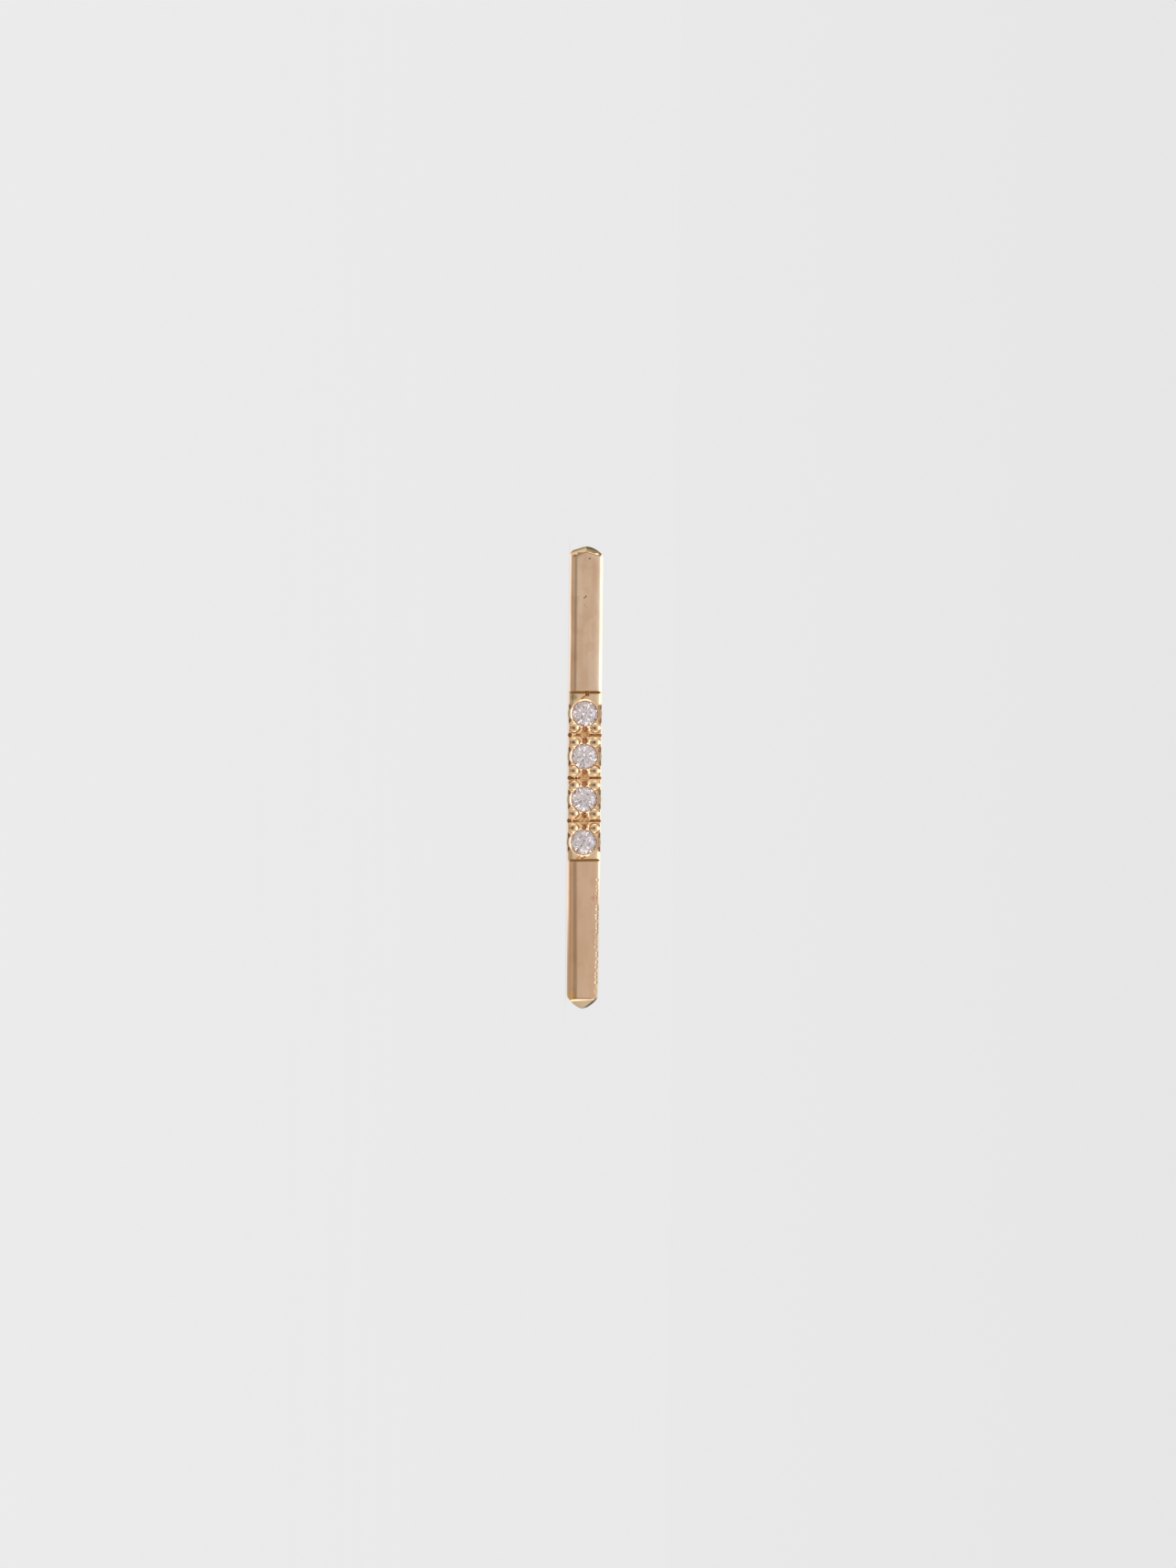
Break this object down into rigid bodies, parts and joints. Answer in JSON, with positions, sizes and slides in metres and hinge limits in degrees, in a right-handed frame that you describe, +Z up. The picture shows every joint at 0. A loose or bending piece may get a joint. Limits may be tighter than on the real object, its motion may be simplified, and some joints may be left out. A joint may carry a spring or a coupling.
{
  "type": "bar stud earring",
  "caption": "Slim polished gold bar stud earring with round brilliant stones set in a row in its middle and a plain ear post behind its upper end.",
  "frame": {"origin": "centre of the ear post's foot, in the plane of the bar's back", "axes": "+X along the bar, from the end near the post to the far end; +Y along the post, away from the bar, so the bar's face looks along -Y; +Z up as the earring lies on its side"},
  "size_m": [0.015, 0.0112, 0.0012],
  "materials": {
    "gold": "polished",
    "diamond": "polished"
  },
  "bodies": {
    "root": {"bar": "gold", "stone_1": "diamond", "stone_2": "diamond", "stone_3": "diamond", "stone_4": "diamond"}
  },
  "joints": []
}
